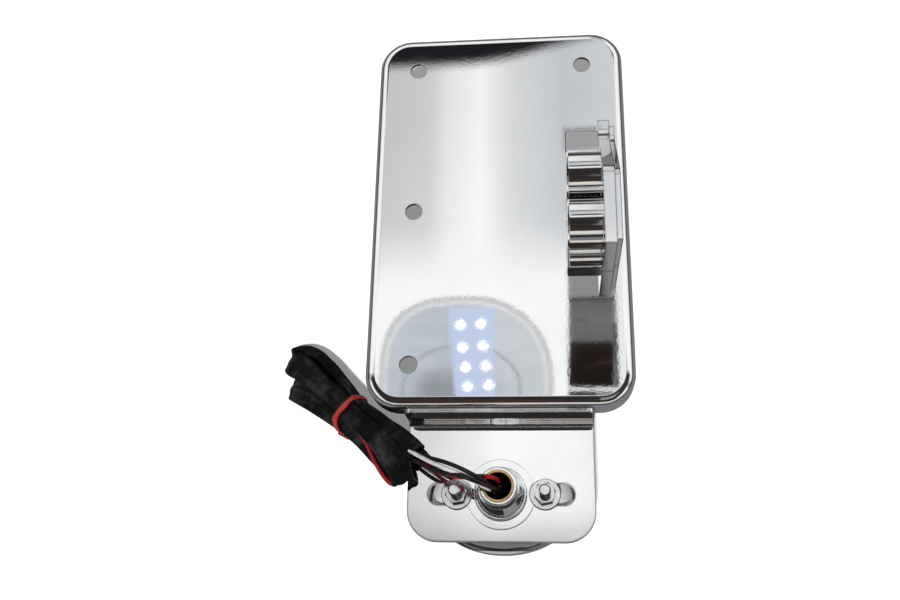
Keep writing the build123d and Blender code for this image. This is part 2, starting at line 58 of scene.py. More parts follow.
# The plate's own frame, in metres: zero at the middle of its back face, +Z out of
# the back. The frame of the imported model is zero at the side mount's bolts.
plate_low, plate_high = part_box("back_plate")
PLATE_ZERO = Vector(
    (
        (plate_low.x + plate_high.x) / 2,
        (plate_low.y + plate_high.y) / 2,
        plate_high.z,
    )
)


def at(x, y, z):
    """A point of the plate's frame, in the frame of the model."""
    return PLATE_ZERO + Vector((x, y, z))


# ---------------------------------------------------------------- camera

CAMERA_PLACE = at(0.022096, -0.185144, 0.390243)
CAMERA_TILT = math.radians(19.9707)
CAMERA_YAW = math.radians(5.9252)
CAMERA_ROLL = math.radians(-0.9350)
CAMERA_LENS = 38.734
CAMERA_SENSOR = 36.0

camera_data = bpy.data.cameras.new("photo_camera")
camera_data.sensor_width = CAMERA_SENSOR
camera_data.lens = CAMERA_LENS
camera_data.clip_start = 0.01
camera_data.clip_end = 20.0
camera = bpy.data.objects.new("photo_camera", camera_data)
bpy.context.scene.collection.objects.link(camera)
camera.matrix_world = Matrix.Translation(CAMERA_PLACE) @ (
    Matrix.Rotation(CAMERA_TILT, 4, "X")
    @ Matrix.Rotation(CAMERA_YAW, 4, "Y")
    @ Matrix.Rotation(CAMERA_ROLL, 4, "Z")
)
bpy.context.scene.camera = camera
bpy.context.scene.view_settings.view_transform = "Standard"


# ---------------------------------------------------------------- node helpers


class Graph:
    """Short calls that add nodes to a material's or the world's tree."""

    def __init__(self, tree):
        self.tree = tree
        tree.nodes.clear()

    def add(self, kind, inputs=None, **settings):
        node = self.tree.nodes.new(kind)
        for name, value in settings.items():
            setattr(node, name, value)
        for name, value in (inputs or {}).items():
            self.put(node.inputs[name], value)
        return node

    def put(self, socket, value):
        if isinstance(value, bpy.types.NodeSocket):
            self.tree.links.new(value, socket)
        elif hasattr(value, "__len__") and len(value) == 3 and len(socket.default_value) == 4:
            socket.default_value = (*value, 1.0)
        else:
            socket.default_value = value

    def math(self, operation, a, b=0.0, c=0.0):
        node = self.add("ShaderNodeMath", operation=operation)
        for socket, value in zip(node.inputs, (a, b, c)):
            self.put(socket, value)
        return node.outputs[0]

    def step(self, value, low, high, start=0.0, end=1.0):
        """start below low, end above high, and smooth between them."""
        node = self.add(
            "ShaderNodeMapRange",
            {"Value": value, "From Min": low, "From Max": high, "To Min": start, "To Max": end},
            interpolation_type="SMOOTHSTEP",
        )
        return node.outputs[0]

    def inside(self, value, low, high, soft):
        """1 between low and high, and 0 outside them, with soft edges."""
        return self.math(
            "MULTIPLY",
            self.step(value, low - soft, low + soft),
            self.step(value, high - soft, high + soft, 1.0, 0.0),
        )

    def mix(self, share, a, b, blend="MIX"):
        node = self.add("ShaderNodeMix", data_type="RGBA", blend_type=blend)
        self.put(node.inputs[0], share)
        self.put(node.inputs[6], a)
        self.put(node.inputs[7], b)
        return node.outputs[2]

    def ramp(self, share, *stops):
        node = self.add("ShaderNodeValToRGB", {"Fac": share})
        ramp = node.color_ramp
        while len(ramp.elements) < len(stops):
            ramp.elements.new(0.5)
        for element, (place, colour) in zip(ramp.elements, stops):
            element.position = place
            element.color = (*colour, 1.0)
        return node.outputs[0]

    def noise(self, place, scale, detail=3.0, rough=0.5, stretch=(1, 1, 1), shift=(0, 0, 0)):
        moved = self.add("ShaderNodeMapping", {"Vector": place})
        moved.inputs["Scale"].default_value = stretch
        moved.inputs["Location"].default_value = shift
        node = self.add(
            "ShaderNodeTexNoise",
            {"Vector": moved.outputs[0], "Scale": scale, "Detail": detail, "Roughness": rough},
        )
        return node.outputs[0]

    def straight(self, seen):
        """1 for what the camera sees, also through clear pieces, from a light path node."""
        return self.math(
            "MAXIMUM", seen.outputs["Is Camera Ray"], seen.outputs["Is Transmission Ray"]
        )

    def bump(self, height, strength, distance, below=None):
        node = self.add(
            "ShaderNodeBump", {"Height": height, "Strength": strength, "Distance": distance}
        )
        if below is not None:
            self.put(node.inputs["Normal"], below)
        return node.outputs[0]


def material(name, build):
    """A material whose shader build(graph, place) returns, place being object coordinates."""
    made = bpy.data.materials.new(name)
    made.use_nodes = True
    graph = Graph(made.node_tree)
    place = graph.add("ShaderNodeTexCoord").outputs["Object"]
    shader = build(graph, place)
    graph.add("ShaderNodeOutputMaterial", {"Surface": shader.outputs[0]})
    return made


def principled(graph, **inputs):
    named = {key.replace("_", " "): value for key, value in inputs.items()}
    return graph.add("ShaderNodeBsdfPrincipled", named)


# ---------------------------------------------------------------- floor and light

# How much of the tent's light falls on dull surfaces; the sun gives them the rest.
TENT_SHARE = 0.32
FLOOR_HALF = 2.5
FLOOR_GLOW = 0.20
SUN_PLACE = at(-0.09, -0.585, 1.29)
SUN_STRENGTH = 3.5
SUN_ANGLE = 0.08


def add_world():
    """The photo's studio, drawn by direction, so that the chrome mirrors it."""
    world = bpy.data.worlds.new("studio")
    bpy.context.scene.world = world
    world.use_nodes = True
    g = Graph(world.node_tree)
    direction = g.add("ShaderNodeTexCoord").outputs["Generated"]
    x, y, z = g.add("ShaderNodeSeparateXYZ", {"Vector": direction}).outputs
    up = g.math("MAXIMUM", z, 0.03)
    # Where a ray meets a roof one unit up: u to the right, v towards the plate's top.
    u = g.math("DIVIDE", x, up)
    v = g.math("DIVIDE", y, up)

    def area(u_low, u_high, v_low, v_high, soft=0.001, v_soft=None):
        return g.math(
            "MULTIPLY",
            g.inside(u, u_low, u_high, soft),
            g.inside(v, v_low, v_high, soft if v_soft is None else v_soft),
        )

    def oval(u_mid, v_mid, u_half, v_half, power=2.0):
        """Distance from the middle of an oval, 1 on its edge."""
        across = g.math("ABSOLUTE", g.math("DIVIDE", g.math("SUBTRACT", u, u_mid), u_half))
        along = g.math("ABSOLUTE", g.math("DIVIDE", g.math("SUBTRACT", v, v_mid), v_half))
        total = g.math("ADD", g.math("POWER", across, power), g.math("POWER", along, power))
        return g.math("POWER", total, g.math("DIVIDE", 1.0, power))

    # A white tent: a dark line where it meets the table, bright walls and roof.
    tent = g.ramp(
        g.math("MULTIPLY_ADD", z, 0.5, 0.5),
        (0.0, (0.45, 0.45, 0.46)),
        (0.49, (0.22, 0.22, 0.23)),
        (0.5, (0.02, 0.02, 0.022)),
        (0.59, (0.03, 0.03, 0.032)),
        (0.63, (0.42, 0.42, 0.43)),
        (0.68, (0.90, 0.90, 0.91)),
        (1.0, (1.0, 1.0, 1.0)),
    )
    # Panels on the walls, with darker gaps between them.
    around = g.math("ARCTAN2", y, x)
    gaps = g.math("ABSOLUTE", g.math("SINE", g.math("MULTIPLY_ADD", around, 2.0, 0.35)))
    walls = g.step(gaps, 0.10, 0.32, 0.42, 1.0)
    low = g.step(z, 0.62, 0.80, 1.0, 0.0)
    tent = g.mix(low, tent, g.mix(1.0, tent, walls, "MULTIPLY"))

    # Roof seen in the plate: a bright strip light with paler cloth on both sides.
    roof = g.ramp(
        g.step(u, -0.24, 0.16),
        (0.0, (0.60, 0.61, 0.62)),
        (0.16, (0.68, 0.69, 0.70)),
        (0.23, (0.88, 0.88, 0.885)),
        (0.36, (0.99, 0.99, 0.99)),
        (0.48, (0.77, 0.78, 0.79)),
        (0.72, (0.61, 0.63, 0.65)),
        (1.0, (0.73, 0.74, 0.75)),
    )
    roof = g.mix(1.0, roof, g.step(v, 0.44, 0.62, 1.0, 0.94), "MULTIPLY")
    tent = g.mix(area(-0.5, 0.4, 0.42, 0.95, 0.08, 0.05), tent, roof)

    # The seam at the back of the roof, which narrows to the right.
    edge = g.math("MULTIPLY_ADD", g.step(u, -0.10, 0.09), 0.034, 0.655)
    seam = g.step(g.math("SUBTRACT", v, edge), 0.0, 0.022)
    seam = g.math("MULTIPLY", seam, g.step(v, 0.76, 0.80, 1.0, 0.0))
    seam = g.math("MULTIPLY", seam, g.inside(u, -0.5, 0.4, 0.1))
    tent = g.mix(seam, tent, (0.012, 0.013, 0.015))
    tent = g.mix(area(0.018, 0.060, 0.545, 0.575), tent, (0.36, 0.36, 0.37))

    # Cloth low over the lamp end, brightest in the middle.
    cloth = g.ramp(
        g.math("MULTIPLY_ADD", u, 2.5, 0.5),
        (0.0, (0.60, 0.61, 0.62)),
        (0.11, (0.67, 0.68, 0.69)),
        (0.20, (0.77, 0.78, 0.79)),
        (0.36, (1.03, 1.03, 1.03)),
        (0.56, (0.98, 0.98, 0.98)),
        (0.75, (0.80, 0.80, 0.81)),
    )
    tent = g.mix(area(-0.5, 0.4, -0.2, 0.236, 0.08, 0.004), tent, cloth)

    # The dark side of the room, with something red-brown in it and one grey board.
    blotch = g.noise(direction, 2.6, 3.0, 0.6)
    room = g.ramp(
        blotch,
        (0.0, (0.014, 0.014, 0.016)),
        (0.46, (0.024, 0.022, 0.023)),
        (0.54, (0.036, 0.029, 0.027)),
        (0.62, (0.052, 0.035, 0.030)),
        (0.72, (0.026, 0.023, 0.023)),
    )
    top = g.math("MULTIPLY_ADD", g.step(g.math("ABSOLUTE", u), 0.17, 0.30), 0.20, 0.095)
    side = g.step(g.math("SUBTRACT", v, top), -0.055, 0.055, 1.0, 0.0)
    side = g.math("MULTIPLY", side, g.step(v, -1.70, -1.60))
    side = g.math("MULTIPLY", side, g.inside(u, -1.2, 1.2, 0.25))
    tent = g.mix(side, tent, room)
    tent = g.mix(area(0.058, 0.5, -0.66, -0.17, 0.01, 0.05), tent, (0.26, 0.26, 0.265))
    warm = g.math("MULTIPLY", g.inside(v, -3.4, -1.75, 0.12), g.step(z, 0.24, 0.32))
    tent = g.mix(g.math("MULTIPLY", warm, 0.7), tent, (0.72, 0.64, 0.54))

    # A round port in the roof with a strip of lamps behind it.
    out = oval(-0.092, 0.27, 0.0945, 0.0975, g.step(u, -0.13, -0.05, 3.0, 2.2))
    upper = g.step(v, 0.2475, 0.2495)
    port = g.math("MULTIPLY", g.step(out, 0.993, 1.003, 1.0, 0.0), upper)
    cloud = g.noise(direction, 30.0, 3.0, 0.55, (0.5, 2.2, 1.0))
    inner = g.mix(g.step(u, -0.11, -0.06), (0.52, 0.56, 0.615), (0.60, 0.63, 0.66))
    inner = g.mix(g.math("MULTIPLY", g.step(cloud, 0.45, 0.62), 0.35), inner, (0.68, 0.71, 0.75))
    ring = oval(-0.0968, 0.262, 0.0643, 0.050)
    shade = g.step(ring, 0.5, 0.98, 1.0, 0.0)
    shade = g.math("MULTIPLY", shade, g.step(v, 0.262, 0.300, 0.85, 0.10))
    shade = g.math("MULTIPLY", shade, g.step(u, -0.09, -0.06, 1.0, 0.3))
    inner = g.mix(shade, inner, (0.27, 0.285, 0.30))
    inner = g.mix(g.inside(ring, 0.968, 1.002, 0.006), inner, (0.27, 0.285, 0.30))
    rim = g.ramp(
        g.step(out, 0.905, 1.0),
        (0.0, (0.90, 0.90, 0.90)),
        (0.06, (0.90, 0.90, 0.90)),
        (0.22, (0.66, 0.66, 0.67)),
        (0.80, (0.60, 0.60, 0.61)),
        (1.0, (0.48, 0.48, 0.49)),
    )
    inner = g.mix(g.step(out, 0.905, 0.915), inner, rim)
    tent = g.mix(port, tent, inner)
    lean = g.math("MULTIPLY", g.math("SUBTRACT", 0.354, v), 0.09)
    strip = g.step(g.math("SUBTRACT", u, lean), -0.1125, -0.1115)
    strip = g.math("MULTIPLY", strip, g.step(u, -0.0615, -0.0605, 1.0, 0.0))
    strip = g.math("MULTIPLY", strip, g.inside(v, 0.2485, 0.3545, 0.001))
    tent = g.mix(g.math("MULTIPLY", strip, 0.92), tent, (0.56, 0.65, 0.86))
    for lamp_u, lamp_v in (
        (-0.0984, 0.3344), (-0.0759, 0.3360), (-0.0953, 0.3086), (-0.0736, 0.3101),
        (-0.0923, 0.2858), (-0.0705, 0.2873), (-0.0897, 0.2650), (-0.0674, 0.2663),
    ):
        far = oval(lamp_u, lamp_v, 0.0068, 0.0068, 1.3)
        tent = g.mix(g.step(far, 0.62, 1.05, 1.0, 0.0), tent, (1.6, 1.6, 1.65))

    # The lip under the plate's edge sees a dark beam below the port.
    tent = g.mix(area(-0.30, 0.10, 0.2345, 0.2466, 0.01, 0.0008), tent, (0.20, 0.20, 0.202))
    flecks = g.step(g.noise(direction, 160.0, 2.0, 0.5, (1.0, 2.0, 1.0)), 0.42, 0.62)
    beam = g.math("MULTIPLY", area(-0.105, -0.055, 0.2360, 0.2450, 0.006, 0.0008), flecks)
    tent = g.mix(beam, tent, (0.42, 0.45, 0.45))

    # The dark gap beside the roof's strip light, with a case in it.
    tent = g.mix(area(0.0192, 0.0710, 0.262, 0.40), tent, (0.275, 0.275, 0.285))
    tent = g.mix(area(0.0182, 0.0470, 0.2400, 0.2595), tent, (0.055, 0.055, 0.056))
    tent = g.mix(area(0.0470, 0.0660, 0.2400, 0.2595), tent, (0.23, 0.23, 0.235))
    beyond = g.math("MULTIPLY", area(0.0720, 0.20, 0.262, 0.40, 0.003, 0.02), 0.7)
    tent = g.mix(beyond, tent, (0.78, 0.79, 0.785))
    lean = g.math("MULTIPLY", g.math("SUBTRACT", 0.3626, v), -0.030)
    beside = g.math("SUBTRACT", u, lean)
    case = g.inside(beside, 0.0208, 0.0677, 0.0008)
    case = g.math("MULTIPLY", case, g.inside(v, 0.264, 0.3626, 0.001))
    shade = g.ramp(
        g.step(v, 0.264, 0.3626),
        (0.0, (0.014, 0.010, 0.009)),
        (0.38, (0.018, 0.013, 0.011)),
        (0.47, (0.030, 0.024, 0.022)),
        (0.52, (0.13, 0.13, 0.128)),
        (0.85, (0.165, 0.165, 0.16)),
        (1.0, (0.13, 0.13, 0.13)),
    )
    smudge = g.noise(direction, 26.0, 3.0, 0.6, (0.8, 3.0, 1.0), (0.3, 0.0, 0.0))
    smudge = g.step(smudge, 0.54, 0.66)
    shade = g.mix(g.math("MULTIPLY", smudge, 0.55), shade, (0.045, 0.030, 0.026))
    tent = g.mix(case, tent, shade)
    edge = g.inside(beside, 0.0200, 0.0690, 0.0008)
    edge = g.math("MULTIPLY", edge, g.inside(v, 0.3600, 0.3640, 0.0008))
    tent = g.mix(g.math("MULTIPLY", edge, 0.8), tent, (0.03, 0.03, 0.03))
    tent = g.mix(area(0.0668, 0.0690, 0.262, 0.335, 0.0005), tent, (0.02, 0.018, 0.018))

    # Mirrors see the tent, the camera sees plain white, and dull surfaces are lit faintly.
    seen = g.add("ShaderNodeLightPath")
    plain = g.straight(seen)
    faint = g.mix(1.0, tent, (TENT_SHARE,) * 3, "MULTIPLY")
    colour = g.mix(seen.outputs["Is Glossy Ray"], faint, tent)
    colour = g.mix(plain, colour, (1.0, 1.0, 1.0))
    back = g.add("ShaderNodeBackground", {"Color": colour, "Strength": 1.0})
    g.add("ShaderNodeOutputWorld", {"Surface": back.outputs[0]})


def add_floor():
    """A plain white table at the lowest point, where the lamp stands; mirrors see it dark."""
    level = cad_box[0][2]
    corners = [(-1, -1), (1, -1), (1, 1), (-1, 1)]
    mesh = bpy.data.meshes.new("floor")
    mesh.from_pydata(
        [(x * FLOOR_HALF, y * FLOOR_HALF, level) for x, y in corners], [], [(0, 1, 2, 3)]
    )
    floor = bpy.data.objects.new("floor", mesh)
    bpy.context.scene.collection.objects.link(floor)

    def build(g, place):
        grain = g.noise(place, 900.0, 2.0)
        seen = g.add("ShaderNodeLightPath")
        rays = g.straight(seen)
        white = g.mix(grain, (0.89, 0.89, 0.89), (0.92, 0.92, 0.92))
        dark = g.mix(grain, (0.15, 0.15, 0.155), (0.19, 0.19, 0.195))
        colour = g.mix(seen.outputs["Is Glossy Ray"], white, dark)
        return principled(
            g,
            Base_Color=colour,
            Roughness=0.9,
            Specular_IOR_Level=0.0,
            Emission_Color=(1.0, 1.0, 1.0),
            Emission_Strength=g.math("MULTIPLY", rays, FLOOR_GLOW),
        )

    floor.data.materials.append(material("floor", build))


def add_sun():
    """Light over the lamp end: from the photo's angle its shadow hides under the plate."""
    data = bpy.data.lights.new("key", "SUN")
    data.energy = SUN_STRENGTH
    data.angle = SUN_ANGLE
    lamp = bpy.data.objects.new("key", data)
    bpy.context.scene.collection.objects.link(lamp)
    lamp.location = SUN_PLACE
    lamp.rotation_euler = (at(0, 0, 0) - SUN_PLACE).to_track_quat("-Z", "Y").to_euler()
    lamp.visible_glossy = False


# ---------------------------------------------------------------- materials


def chrome(tint, smear=0.03, wave=0.02, scale=45.0, lines=None, painted_edge_dark=0.0):
    """Plated steel: a mirror with faint smears, a slight wave and polishing marks.

    Its edges shade as if rounded off, and the last argument sets how dark a painted line of shade
    the colour shows along them.
    """

    def build(g, place):
        smears = g.noise(place, scale, 4.0, 0.6)
        fine = g.noise(place, 700.0, 3.0, 0.6, lines or (1, 1, 1))
        dusty = g.step(g.noise(place, 2600.0, 1.0), 0.70, 0.78)
        darker = tuple(c * 0.965 for c in tint)
        colour = g.mix(g.step(smears, 0.35, 0.7), tint, darker)
        rough = g.math("MULTIPLY_ADD", g.step(smears, 0.3, 0.75), smear, 0.006)
        rough = g.math("MULTIPLY_ADD", fine, 0.01, rough)
        rough = g.math("MULTIPLY_ADD", dusty, 0.03, rough)
        edges = g.add("ShaderNodeBevel", {"Radius": 0.0010 if painted_edge_dark else 0.0005}, samples=4)
        if painted_edge_dark:
            turned = g.add("ShaderNodeVectorMath", operation="DOT_PRODUCT")
            g.put(turned.inputs[0], edges.outputs[0])
            g.put(turned.inputs[1], g.add("ShaderNodeNewGeometry").outputs["Normal"])
            # Painted shade: the colour darkens to a dark line where the edges turn away, in place
            # of a dark reflection there.
            line = g.step(turned.outputs["Value"], 0.93, 0.998, painted_edge_dark, 0.0)
            colour = g.mix(line, colour, (0.10, 0.10, 0.10))
        waves = g.bump(g.noise(place, scale * 0.5, 1.0), wave, 0.002, edges.outputs[0])
        marks = g.bump(fine, 0.012, 0.0002, waves)
        return principled(g, Base_Color=colour, Metallic=1.0, Roughness=rough, Normal=marks)

    return build


def lamp_case(g, place):
    """A lamp body with a bright side, and a satin top and shoulder under the tab."""
    normal = g.add("ShaderNodeTexCoord").outputs["Normal"]
    facing = g.add("ShaderNodeSeparateXYZ", {"Vector": normal})
    ends = g.step(g.math("ABSOLUTE", facing.outputs["Y"]), 0.45, 0.65, 1.0, 0.0)
    top = g.math("MULTIPLY", ends, g.step(facing.outputs["Z"], 0.05, 0.30))
    top = g.math("MAXIMUM", top, g.step(facing.outputs["Z"], 0.80, 0.95))
    smears = g.step(g.noise(place, 90.0, 4.0, 0.6), 0.35, 0.7)
    fine = g.noise(place, 900.0, 3.0, 0.6)
    bright = g.mix(smears, (0.86, 0.865, 0.87), (0.80, 0.805, 0.81))
    satin = g.mix(smears, (0.66, 0.665, 0.67), (0.60, 0.605, 0.61))
    return principled(
        g,
        Base_Color=g.mix(top, bright, satin),
        Metallic=g.math("SUBTRACT", 1.0, g.math("MULTIPLY", top, 0.9)),
        Roughness=g.math("MULTIPLY_ADD", top, 0.35, g.math("MULTIPLY_ADD", fine, 0.05, 0.03)),
        Normal=g.bump(fine, 0.02, 0.0002),
    )


def zinc(tint):
    """Bright zinc: a soft metal sheen with turned marks and small dull spots."""

    def build(g, place):
        spots = g.noise(place, 240.0, 3.0, 0.5)
        fine = g.noise(place, 2400.0, 2.0)
        colour = g.mix(g.step(spots, 0.4, 0.7), tint, tuple(c * 0.9 for c in tint))
        rough = g.math("MULTIPLY_ADD", spots, 0.12, 0.07)
        dents = g.bump(spots, 0.05, 0.0003)
        marks = g.bump(fine, 0.08, 0.0001, dents)
        return principled(g, Base_Color=colour, Metallic=1.0, Roughness=rough, Normal=marks)

    return build


def brass(g, place):
    """Turned brass, stained a little."""
    stain = g.noise(place, 300.0, 4.0, 0.6)
    colour = g.mix(g.step(stain, 0.35, 0.7), (0.88, 0.66, 0.28), (0.62, 0.40, 0.14))
    rough = g.math("MULTIPLY_ADD", stain, 0.2, 0.12)
    turned = g.add(
        "ShaderNodeTexWave",
        {"Vector": place, "Scale": 1800.0, "Distortion": 1.0},
        wave_type="BANDS",
        bands_direction="Z",
    )
    return principled(
        g,
        Base_Color=colour,
        Metallic=1.0,
        Roughness=rough,
        Normal=g.bump(turned.outputs["Fac"], 0.15, 0.0001),
    )


def rubber(tint, rough=0.6, coat=0.0):
    """Soft rubber or vinyl with a fine grain, and a coat where it shines."""

    def build(g, place):
        fine = g.noise(place, 1400.0, 5.0, 0.7)
        broad = g.noise(place, 120.0, 3.0)
        paler = tuple(min(1.0, c * 1.35 + 0.004) for c in tint)
        colour = g.mix(g.step(broad, 0.3, 0.75), tint, paler)
        return principled(
            g,
            Base_Color=colour,
            Roughness=g.math("MULTIPLY_ADD", fine, 0.2, rough - 0.1),
            Coat_Weight=coat,
            Coat_Roughness=0.2,
            Normal=g.bump(fine, 0.18, 0.0002),
        )

    return build


def lens_glass(tint, rough=0.06, ribs=True):
    """Moulded lens: clear coloured plastic with small optical ribs inside."""

    def build(g, place):
        fine = g.noise(place, 500.0, 2.0)
        normal = g.bump(fine, 0.04, 0.0002)
        if ribs:
            waves = [
                g.add(
                    "ShaderNodeTexWave",
                    {"Vector": place, "Scale": 105.0, "Distortion": 0.0},
                    wave_type="BANDS",
                    bands_direction=way,
                ).outputs["Fac"]
                for way in "XY"
            ]
            normal = g.bump(g.math("MULTIPLY", *waves), 0.35, 0.0006, normal)
        colour = g.mix(g.step(fine, 0.3, 0.7), tint, tuple(c * 0.85 for c in tint))
        return principled(
            g,
            Base_Color=colour,
            Roughness=g.math("MULTIPLY_ADD", fine, 0.05, rough),
            IOR=1.49,
            Transmission_Weight=0.75,
            Normal=normal,
        )

    return build


def board(g, place):
    """Green laminate: solder mask over darker tracks, with a woven sheen."""
    tracks = g.add("ShaderNodeTexBrick", {"Vector": place, "Scale": 160.0, "Mortar Size": 0.012})
    weave = g.noise(place, 1800.0, 2.0, 0.5, (1.0, 3.0, 1.0))
    line = g.step(tracks.outputs["Fac"], 0.2, 0.8)
    colour = g.mix(line, (0.03, 0.19, 0.075), (0.055, 0.27, 0.11))
    colour = g.mix(g.math("MULTIPLY", weave, 0.25), colour, (0.10, 0.34, 0.17))
    return principled(
        g,
        Base_Color=colour,
        Roughness=g.math("MULTIPLY_ADD", weave, 0.2, 0.25),
        Normal=g.bump(line, 0.2, 0.0001),
    )


def epoxy(g, place):
    """The cloudy cast body of a light-emitting diode."""
    cloud = g.noise(place, 700.0, 3.0)
    colour = g.mix(g.step(cloud, 0.3, 0.7), (0.90, 0.90, 0.86), (0.78, 0.79, 0.76))
    return principled(
        g,
        Base_Color=colour,
        Roughness=g.math("MULTIPLY_ADD", cloud, 0.1, 0.05),
        Transmission_Weight=0.35,
        IOR=1.5,
        Normal=g.bump(cloud, 0.03, 0.0002),
    )


def wire_cover(tint, gloss=0.28):
    """Soft wire insulation: smooth, slightly greasy gloss with faint drawing lines."""

    def build(g, place):
        smears = g.noise(place, 260.0, 4.0, 0.6)
        fine = g.noise(place, 3000.0, 2.0)
        greasy = tuple(min(1.0, c * 0.72 + 0.006) for c in tint)
        colour = g.mix(g.step(smears, 0.35, 0.75), tint, greasy)
        return principled(
            g,
            Base_Color=colour,
            Roughness=g.math("MULTIPLY_ADD", smears, 0.18, gloss - 0.08),
            Specular_IOR_Level=0.32,
            Normal=g.bump(fine, 0.05, 0.0001, g.bump(smears, 0.05, 0.0004)),
        )

    return build


def sleeve_cover(g, place):
    """Thin black sleeve: shiny in patches, with fine creases across and along it."""
    creases = g.noise(place, 330.0, 4.0, 0.6, (1.0, 1.0, 0.6))
    broad = g.noise(place, 95.0, 3.0, 0.5)
    fine = g.noise(place, 2400.0, 2.0)
    sheen = g.step(broad, 0.42, 0.66)
    colour = g.mix(sheen, (0.0045, 0.0045, 0.0048), (0.010, 0.010, 0.0105))
    folds = g.bump(creases, 0.30, 0.0009, g.bump(broad, 0.55, 0.0026))
    return principled(
        g,
        Base_Color=colour,
        Roughness=g.math("MULTIPLY_ADD", creases, 0.30, 0.14),
        Specular_IOR_Level=g.math("MULTIPLY_ADD", sheen, 0.34, 0.05),
        Normal=g.bump(fine, 0.05, 0.0001, folds),
    )


MAKERS = {
    "chrome_plate": chrome((0.945, 0.95, 0.955), 0.02, 0.012, 30.0),
    # The bracket's edges get a painted dark line of shade in their colour.
    "chrome_bracket": chrome((0.93, 0.935, 0.94), 0.03, 0.02, 60.0, painted_edge_dark=0.85),
    "chrome_turned": chrome((0.90, 0.905, 0.91), 0.05, 0.03, 160.0, (0.2, 1.0, 1.0)),
    "zinc_hardware": zinc((0.80, 0.81, 0.80)),
    "brass_bush": brass,
    "lamp_body": lamp_case,
    "lamp_trim": chrome((0.84, 0.845, 0.85), 0.04, 0.03, 120.0),
    "black_rubber": rubber((0.025, 0.025, 0.025)),
    "clear_window": lens_glass((0.93, 0.95, 0.96), 0.04, ribs=False),
    "red_lens": lens_glass((0.62, 0.015, 0.015)),
    "circuit_board": board,
    "led_epoxy": epoxy,
    "wire_black_pvc": wire_cover((0.008, 0.008, 0.0085)),
    "wire_red_pvc": wire_cover((0.30, 0.008, 0.014)),
    "wire_white_pvc": wire_cover((0.60, 0.605, 0.61)),
    "sleeve_pvc": sleeve_cover,
    "red_tie": rubber((0.27, 0.018, 0.012), 0.42, 0.25),
}
SLOTS = {name: material(name, build) for name, build in MAKERS.items()}


def dress_nodes():
    """Every CAD node takes the material of the slot that the record gives it."""
    for name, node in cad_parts.items():
        for entry in node.material_slots:
            named = entry.material.name.split(".")[0] if entry.material else ""
            if named in SLOTS:
                entry.material = SLOTS[named]
            else:
                print("no slot material for", name, named)


# ---------------------------------------------------------------- cords

WIRE_RADIUS = 0.0009
# Cover, length, and the route from the board up through the ferrule into the sleeve.
WIRES = {
    "wire_black": (
        "wire_black_pvc",
        0.0807,
        [
            (-0.0004, -0.1261, -0.0311), (-0.0006, -0.1258, -0.0150), (-0.0008, -0.1263, -0.0040),
            (-0.0030, -0.1232, 0.0066), (-0.0096, -0.1202, 0.0118), (-0.0154, -0.1170, 0.0090),
            (-0.0225, -0.1135, 0.0030), (-0.0304, -0.1104, -0.0050), (-0.0348, -0.1072, -0.0076),
        ],
    ),
    "wire_lower_black": (
        "wire_black_pvc",
        0.0853,
        [
            (0.0022, -0.1240, -0.0311), (0.0020, -0.1238, -0.0150), (0.0020, -0.1240, -0.0040),
            (-0.0010, -0.1250, 0.0062), (-0.0082, -0.1230, 0.0120), (-0.0140, -0.1206, 0.0096),
            (-0.0228, -0.1180, 0.0012), (-0.0329, -0.1133, -0.0060), (-0.0377, -0.1094, -0.0092),
        ],
    ),
    "wire_red": (
        "wire_red_pvc",
        0.0753,
        [
            (0.0002, -0.1209, -0.0311), (0.0004, -0.1212, -0.0150), (0.0002, -0.1209, -0.0040),
            (-0.0006, -0.1202, 0.0044), (-0.0077, -0.1199, 0.0062), (-0.0150, -0.1202, 0.0022),
            (-0.0225, -0.1176, -0.0016), (-0.0294, -0.1126, -0.0064), (-0.0335, -0.1077, -0.0092),
        ],
    ),
    "wire_white": (
        "wire_white_pvc",
        0.0759,
        [
            (-0.0024, -0.1238, -0.0311), (-0.0022, -0.1235, -0.0150), (-0.0025, -0.1237, -0.0040),
            (-0.0040, -0.1246, 0.0018), (-0.0092, -0.1216, 0.0074), (-0.0151, -0.1192, 0.0068),
            (-0.0225, -0.1161, 0.0046), (-0.0322, -0.1108, -0.0030), (-0.0374, -0.1073, -0.0068),
        ],
    ),
}

